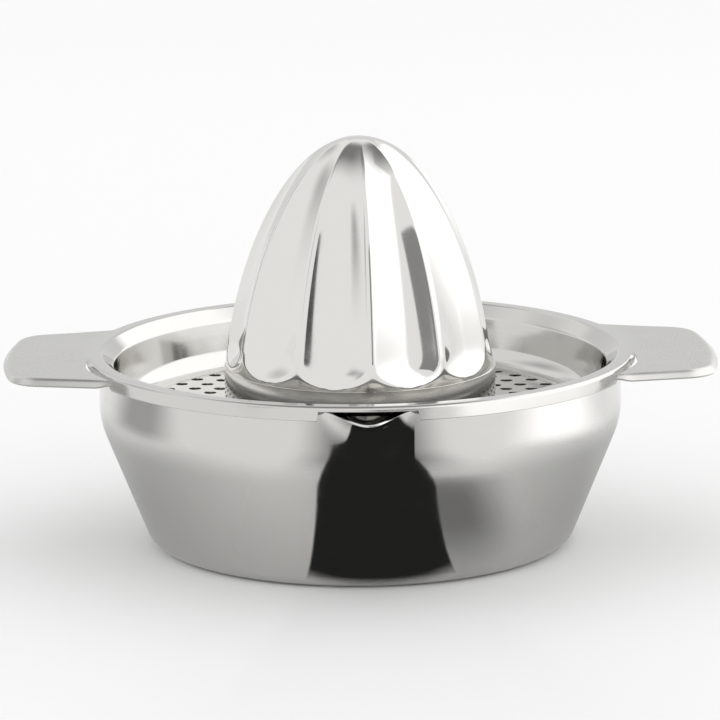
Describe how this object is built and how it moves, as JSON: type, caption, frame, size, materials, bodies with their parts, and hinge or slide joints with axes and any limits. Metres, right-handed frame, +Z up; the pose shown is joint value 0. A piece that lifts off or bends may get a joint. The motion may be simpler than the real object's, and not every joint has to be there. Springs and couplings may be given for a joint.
{
  "type": "citrus juicer",
  "caption": "Stainless steel table citrus juicer: spouted bowl with a lift-off strainer dish, finger tabs and a fluted reamer dome.",
  "frame": {"origin": "centre of the bowl's flat base, on the surface that it stands on", "axes": "+Z up along the axis of bowl, dish and reamer; the spout points along -Y; the finger tabs point along +X and -X"},
  "size_m": [0.1686, 0.132, 0.097],
  "materials": {
    "bowl_steel": "polished stainless steel, slightly satin",
    "strainer_steel": "polished stainless steel, satin on the flat tabs",
    "reamer_steel": "mirror-polished stainless steel"
  },
  "bodies": {
    "bowl": {"bowl": "bowl_steel"},
    "top": {"strainer": "strainer_steel", "reamer": "reamer_steel"}
  },
  "joints": [
    {"name": "top_lift", "type": "slide", "parent": "bowl", "child": "top", "axis": [0, 0, 1], "range_m": [0, 0.08]}
  ]
}
